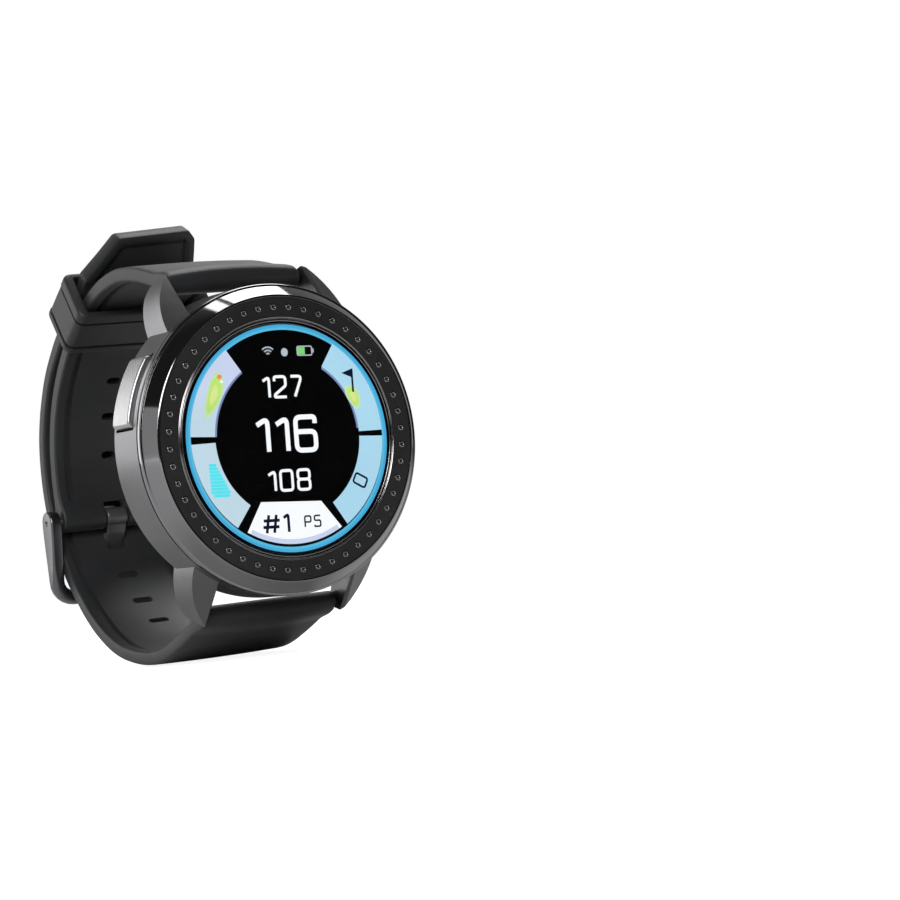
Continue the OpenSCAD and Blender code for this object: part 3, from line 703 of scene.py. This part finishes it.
def make_button():
    """The cap: a block bent round the case side, its face knurled and its edges rounded."""
    half_l, half_h, face_r, deep_r = 5.4, 2.55, 23.4, 21.7
    pitch, knurl = 0.6, 0.08
    columns, rows = 150, 72
    angle = math.radians(BUTTON_ANGLE)

    def place(radius, t, v):
        a = angle + t / CASE_R
        return radius * math.cos(a), radius * math.sin(a), BUTTON_Z + v

    def tooth(u):
        return abs((u / pitch) % 1 - 0.5) * 2

    sections = []
    for i in range(columns + 1):
        t = -half_l + 2 * half_l * i / columns
        end = max(abs(t) - (half_l - 0.9), 0) / 0.9
        ring = []
        for j in range(rows + 1):
            v = -half_h + 2 * half_h * j / rows
            roll = max(abs(v) - (half_h - 0.6), 0) / 0.6
            r = face_r - 0.4 * (1 - math.sqrt(max(1 - roll * roll, 0)))
            r -= 0.9 * (1 - math.sqrt(max(1 - end * end, 0)))
            r += knurl * (1 - ramp(max(end, roll), 0.1, 0.7)) * (tooth(t + v) * tooth(t - v) - 1)
            ring.append(place(r, t, v))
        ring.append(place(deep_r, t, half_h))
        ring.append(place(deep_r, t, -half_h))
        sections.append(ring)
    return loft(sections)


piece("button_knurled", *make_button(), BUTTON_METAL, "button", ["button_cap"], "button_metal", crease=40)


# ---------- display ----------

FACE_Z = 13.36                 # top of the panel, on which the picture is laid in thin layers
PICTURE_TURN, PICTURE_SHIFT = -2.5, (0.25, 0.2)     # how the picture sits on the panel
LAYER_STEP, PLATE_T = 0.012, 0.01                   # rise from layer to layer, and a plate's thickness
FIELD = (11.75, 15.6)          # inner and outer radius of the pale fields
SHADE = (11.45, 15.5)          # and of the shade that shows along their inner edges
DISPLAY = {
    "white": glow("display_white", (0.93, 0.96, 1.0), 1.05),
    "blue_ring": glow("display_blue", (0.06, 0.42, 0.72), 1.0, 0.12),
    "pale_left": glow("display_lavender", (0.6, 0.68, 0.88), 1.0, 0.08),
    "pale_mid": glow("display_pale_mid", (0.575, 0.7, 0.85), 1.0, 0.08),
    "pale_right": glow("display_pale_blue", (0.42, 0.71, 0.88), 1.0, 0.06),
    "shadow": glow("display_shade", (0.2, 0.26, 0.5), 1.0),
    "ink": glow("display_ink", (0.004, 0.008, 0.025), 1.0),
    "lime": glow("display_lime", (0.5, 0.8, 0.16), 1.0, 0.2),
    "orange": glow("display_orange", (0.9, 0.3, 0.06), 1.0),
    "cyan": glow("display_cyan", (0.1, 0.8, 0.92), 1.0, 0.15),
    "green": glow("display_green", (0.2, 0.7, 0.18), 1.0),
    "grey": glow("display_grey", (0.6, 0.66, 0.74), 0.8),
    "sky_ring": glow("display_sky_ring", (0.1, 0.5, 0.76), 1.0, 0.08),
    "pale_low": glow("display_pale_cyan", (0.55, 0.72, 0.82), 1.0, 0.06),
    "mist": glow("display_mist", (0.56, 0.76, 0.5), 1.0, 0.1),
    "straw": glow("display_straw", (0.7, 0.8, 0.3), 1.0, 0.1),
    "aqua": glow("display_aqua", (0.3, 0.8, 0.9), 1.0, 0.1),
}
picture = {key: [] for key in DISPLAY}


def slab(outline, layer):
    """A thin plate of the picture. Higher layers lie over lower ones."""
    z = FACE_Z + LAYER_STEP * layer
    c, s = math.cos(math.radians(PICTURE_TURN)), math.sin(math.radians(PICTURE_TURN))
    turned = [(x * c - y * s + PICTURE_SHIFT[0], x * s + y * c + PICTURE_SHIFT[1]) for x, y in outline]
    return loft([[(x, y, h) for x, y in turned] for h in (z - PLATE_T, z)])


def band(r0, r1, layer, steps=180):
    """A whole ring of the picture."""
    z = FACE_Z + LAYER_STEP * layer
    verts, faces = lathe([(r0, z - PLATE_T), (r1, z - PLATE_T), (r1, z), (r0, z)], steps)
    return [(x + PICTURE_SHIFT[0], y, z) for x, y, z in verts], faces


def arc_band(r0, r1, a0, a1, steps=40):
    """Part of a ring, its angles clockwise from 12 o'clock in degrees."""
    rim = [math.radians(90 - a0 - (a1 - a0) * k / steps) for k in range(steps + 1)]
    return [(r1 * math.cos(a), r1 * math.sin(a)) for a in rim] + \
        [(r0 * math.cos(a), r0 * math.sin(a)) for a in reversed(rim)]


def stroke(points, width, radius=0.0, closed=False, steps=4):
    """The outline of a line of even width. A closed line is two outlines joined by a seam."""
    line = [np.array(p) for p in fillet(points, radius, closed=closed, steps=steps)]
    count = len(line)
    left, right = [], []
    for i, p in enumerate(line):
        a = line[i - 1] if closed or i > 0 else p
        b = line[(i + 1) % count] if closed or i < count - 1 else p
        t0 = (p - a) / max(np.linalg.norm(p - a), 1e-9)
        t1 = (b - p) / max(np.linalg.norm(b - p), 1e-9)
        t = t0 + t1
        t = t / np.linalg.norm(t)
        n = np.array([-t[1], t[0]])
        grow = 1 / max(abs(float(n @ np.array([-t1[1], t1[0]]))) if i < count - 1 or closed else 1, 0.5)
        left.append(p + n * width / 2 * grow)
        right.append(p - n * width / 2 * grow)
    if closed:
        left.append(left[0])
        right.append(right[0])
    return [(tuple(left[i]), tuple(left[i + 1]), tuple(right[i + 1]), tuple(right[i]))
            for i in range(len(left) - 1)]


def draw(key, line, layer, **how):
    """Adds a stroked line to the picture."""
    width = how.pop("width")
    for quad in stroke(line, width, **how):
        picture[key].append(slab(quad, layer))


GLYPHS = {
    "0": [([(0, 0), (1, 0), (1, 1), (0, 1)], True)],
    "1": [([(0, 0.8), (0.55, 1), (0.55, 0)], False)],
    "2": [([(0, 0.78), (0, 1), (1, 1), (1, 0.55), (0, 0.12), (0, 0), (1.04, 0)], False)],
    "5": [([(1, 1), (0, 1), (0, 0.56), (1, 0.56), (1, 0), (0, 0), (0, 0.16)], False)],
    "6": [([(1, 0.8), (1, 1), (0, 1), (0, 0), (1, 0), (1, 0.56), (0, 0.56)], False)],
    "7": [([(0, 1), (1, 1), (0.3, 0)], False)],
    "8": [([(0, 0.52), (1, 0.52), (1, 1), (0, 1)], True), ([(0, 0), (1, 0), (1, 0.52), (0, 0.52)], True)],
    "P": [([(0, 0), (0, 1), (1, 1), (1, 0.45), (0, 0.45)], False)],
    "#": [([(0.2, 0), (0.38, 1)], False), ([(0.66, 0), (0.84, 1)], False),
          ([(0, 0.33), (0.98, 0.33)], False), ([(0.05, 0.69), (1.03, 0.69)], False)],
}
SHARES = {"1": 0.62, "#": 1.7}     # widths of the two odd glyphs, as shares of a plain one


def write(text, centre, height, width, line, key, layer, gap):
    """Glyphs in square-shouldered strokes. width is the whole text's, gap the space between them."""
    shares = [SHARES.get(c, 1) for c in text]
    unit = (width - gap * (len(text) - 1)) / sum(shares)
    x = centre[0] - width / 2
    for c, share in zip(text, shares):
        h = height - line
        full = (unit if c == "1" else unit * share) - line
        for points, loop in GLYPHS[c]:
            placed = [(x + line / 2 + px * full, centre[1] - height / 2 + line / 2 + py * h)
                      for px, py in points]
            draw(key, placed, layer, width=line, radius=min(full, h) * 0.26, closed=loop)
        x += unit * share + gap


def blob(centre, half, lean, wave=0.12, steps=36):
    """A leaf-like patch of the course map."""
    out = []
    for k in range(steps):
        a = 2 * math.pi * k / steps
        r = 1 + wave * math.sin(3 * a + 0.8)
        x, y = half[0] * r * math.cos(a), half[1] * r * math.sin(a)
        c, s = math.cos(math.radians(lean)), math.sin(math.radians(lean))
        out.append((centre[0] + c * x - s * y, centre[1] + s * x + c * y))
    return out


def make_picture():
    picture["sky_ring"].append(band(15.6, 15.95, 1))
    picture["blue_ring"].append(band(15.95, 16.38, 1))
    for start, end in ((-88, -35.5), (33, 86)):
        picture["shadow"].append(slab(arc_band(*SHADE, start, end, 50), 1))
    for key, start, end, steps in (("pale_left", -60, -35.5, 30), ("pale_mid", -75, -60, 20),
                                   ("pale_low", -88, -75, 20), ("pale_low", -144, -92, 50),
                                   ("pale_right", 32.5, 88.4, 50), ("pale_right", 91.6, 146.3, 50)):
        picture[key].append(slab(arc_band(*FIELD, start, end, steps), 2))
    # the white foot of the dial, closed by an arc
    foot_r, start, end = 15.4, math.radians(-120), math.radians(-60)
    turns = [start + (end - start) * k / 30 for k in range(31)]
    rim = [(foot_r * math.cos(a), foot_r * math.sin(a)) for a in turns]
    picture["white"].append(slab([(4.6, -9.45), (-5.2, -9.15)] + rim, 2))
    picture["pale_left"].append(slab(arc_band(14.7, foot_r, 152, 208, 30), 3))
    write("127", (-0.3, 7.2), 3.35, 6.8, 0.42, "white", 2, 0.5)
    write("116", (-0.25, 0.35), 5.5, 10.2, 0.72, "white", 2, 0.75)
    write("108", (-0.35, -6.25), 3.25, 7.1, 0.42, "white", 2, 0.5)
    write("#1", (-3.1, -12.35), 3.0, 4.5, 0.44, "ink", 4, 0.3)
    write("P5", (2.95, -12.3), 1.8, 2.8, 0.25, "ink", 4, 0.35)
    # signal, position and battery
    for r in (0.35, 0.8, 1.25):
        arc = [(-2.3 + r * math.cos(math.radians(a)), 11.7 + r * math.sin(math.radians(a)))
               for a in range(45, 136, 15)]
        draw("grey", arc, 2, width=0.2)
    picture["grey"].append(slab(blob((0.4, 12.15), (0.55, 0.6), 0, 0), 2))
    draw("grey", [(2.5, 11.65), (4.9, 11.65), (4.9, 12.95), (2.5, 12.95)], 2, width=0.16, radius=0.25,
         closed=True)
    picture["green"].append(slab([(2.6, 11.77), (3.75, 11.77), (3.75, 12.83), (2.6, 12.83)], 2))
    picture["grey"].append(slab([(5.0, 12.0), (5.22, 12.0), (5.22, 12.6), (5.0, 12.6)], 2))
    # course map: fairway, green with its flag, hazard, tee
    for key, swell, layer in (("mist", 1.15, 3), ("lime", 0.88, 4), ("straw", 0.5, 5)):
        picture[key].append(slab(blob((-11.45, 6.4), (1.05 * swell, 3.0 * swell), -22, 0.1), layer))
        picture[key].append(slab(blob((11.2, 5.5), (0.9 * swell, 1.65 * swell), 26, 0.06), layer))
    picture["orange"].append(slab(blob((-10.4, 8.9), (0.38, 0.34), 0, 0), 6))
    picture["white"].append(slab(blob((-10.1, 8.2), (0.22, 0.2), 0, 0), 6))
    picture["ink"].append(slab([(11.1, 6.1), (11.42, 6.1), (11.42, 9.5), (11.1, 9.5)], 6))
    picture["ink"].append(slab([(11.3, 9.5), (11.3, 8.2), (9.5, 8.9)], 6))
    for k in range(10):
        y = -3.6 - 0.48 * k
        wide = 0.6 + 0.11 * k - (0.3 if k == 9 else 0)
        x = -12.5 + 0.13 * k
        for half, key, layer in ((0.2, "cyan", 4), (0.26, "aqua", 3)):
            picture[key].append(slab([(x - wide, y - half), (x + wide, y - half),
                                      (x + wide, y + half), (x - wide, y + half)], layer))
    middle = (11.35, -6.8)
    corners = ((1.25, 0.15), (0.6, -1.15), (-1.25, -0.15), (-0.6, 1.15))
    box = [(middle[0] + dx, middle[1] + dy) for dx, dy in corners]
    draw("ink", box, 4, width=0.3, radius=0.35, closed=True)


make_picture()
for key, plates in picture.items():
    piece("display_" + key, *merge(plates), DISPLAY[key], "case", slot="display_glass", crease=30)


# ---------- light, floor and camera ----------

def softbox(name, place, size, radiance, across=(1, 0, 0)):
    """A rectangular light that faces the watch. Its width runs along across."""
    data = bpy.data.lights.new(name, "AREA")
    data.shape = "RECTANGLE"
    data.size, data.size_y = size
    data.energy = radiance * math.pi * size[0] * size[1]
    obj = bpy.data.objects.new(name, data)
    bpy.context.scene.collection.objects.link(obj)
    obj.location = place
    z = (Vector(place) - Vector((0, 0.02, 0))).normalized()
    x = Vector(across) - z * z.dot(Vector(across))
    x.normalize()
    obj.rotation_mode = "QUATERNION"
    obj.rotation_quaternion = Matrix((x, z.cross(x), z)).transposed().to_quaternion()
    obj.visible_camera = False


def make_floor(z):
    """A pale floor that stretches far enough to have no edge in view."""
    mat = shader("floor", (0.8, 0.8, 0.8), 0.6, vary=0.01, blotch=3, relief=0.01, Specular_IOR_Level=0.1)
    nodes, links = mat.node_tree.nodes, mat.node_tree.links
    seen = nodes.new("ShaderNodeLightPath")
    lift = nodes.new("ShaderNodeMath")
    lift.operation = "MULTIPLY"
    lift.inputs[1].default_value = 0.9
    links.new(seen.outputs["Is Camera Ray"], lift.inputs[0])
    nodes["Principled BSDF"].inputs["Emission Color"].default_value = (1, 1, 1, 1)
    links.new(lift.outputs[0], nodes["Principled BSDF"].inputs["Emission Strength"])
    mesh = bpy.data.meshes.new("floor")
    half = 6.0
    mesh.from_pydata([(-half, -half, z), (half, -half, z), (half, half, z), (-half, half, z)], [],
                     [(0, 1, 2, 3)])
    mesh.materials.append(mat)
    obj = bpy.data.objects.new("floor", mesh)
    bpy.context.scene.collection.objects.link(obj)


def make_world():
    """White where the camera looks past the object. As light, brighter behind it and dim in front."""
    world = bpy.data.worlds.new("studio")
    bpy.context.scene.world = world
    world.use_nodes = True
    nodes, links = world.node_tree.nodes, world.node_tree.links
    background = nodes["Background"]
    coords = nodes.new("ShaderNodeTexCoord")
    split = nodes.new("ShaderNodeSeparateXYZ")
    links.new(coords.outputs["Generated"], split.inputs[0])
    room = nodes.new("ShaderNodeValToRGB")
    room.color_ramp.elements[0].position = 0.5
    room.color_ramp.elements[0].color = (0.02, 0.02, 0.021, 1)
    room.color_ramp.elements[1].position = 0.85
    room.color_ramp.elements[1].color = (0.3, 0.3, 0.3, 1)
    spread = nodes.new("ShaderNodeMapRange")
    spread.inputs["From Min"].default_value = -1
    links.new(split.outputs["Y"], spread.inputs["Value"])
    links.new(spread.outputs["Result"], room.inputs["Fac"])
    seen = nodes.new("ShaderNodeLightPath")
    mix = nodes.new("ShaderNodeMix")
    mix.data_type = "RGBA"
    links.new(seen.outputs["Is Camera Ray"], mix.inputs["Factor"])
    links.new(room.outputs["Color"], mix.inputs[6])
    mix.inputs[7].default_value = (1, 1, 1, 1)
    links.new(mix.outputs[2], background.inputs["Color"])


def make_camera():
    """A long lens in front of the dial, to its left and slightly low."""
    data = bpy.data.cameras.new("camera")
    data.lens, data.sensor_width = 115.34, 36
    data.clip_start, data.clip_end = 0.01, 50
    obj = bpy.data.objects.new("camera", data)
    bpy.context.scene.collection.objects.link(obj)
    obj.location = (-0.2001, -0.37533, -0.01355)
    look = Vector((0.53183, 0.84656, 0.02226))
    roll = math.radians(-6.58)
    obj.rotation_mode = "QUATERNION"
    obj.rotation_quaternion = look.to_track_quat("-Z", "Y") @ Matrix.Rotation(roll, 3, "Z").to_quaternion()
    bpy.context.scene.camera = obj


make_floor(cad_box[0].z - 0.0002)
make_world()
make_camera()
softbox("box_top", (0.181, 0.15, 0.477), (0.268, 0.22), 4.0, across=(0.217, 0.104, -0.117))
softbox("box_top_end", (0.021, 0.064, 0.542), (0.068, 0.2), 2.6, across=(0.064, 0.026, -0.01))
softbox("box_back_right", (0.264, 0.341, 0.36), (0.16, 0.16), 2.0)
softbox("card_left_back", (-0.38, 0.47, 0.14), (0.42, 0.38), 1.55)
softbox("card_left", (-0.5, -0.095, 0.1), (0.3, 0.27), 0.42, across=(0.19, -0.98, 0))
softbox("box_front_left", (-0.42, -0.49, 0.32), (0.4, 0.3), 6.3)
bpy.context.scene.view_settings.view_transform = "Standard"
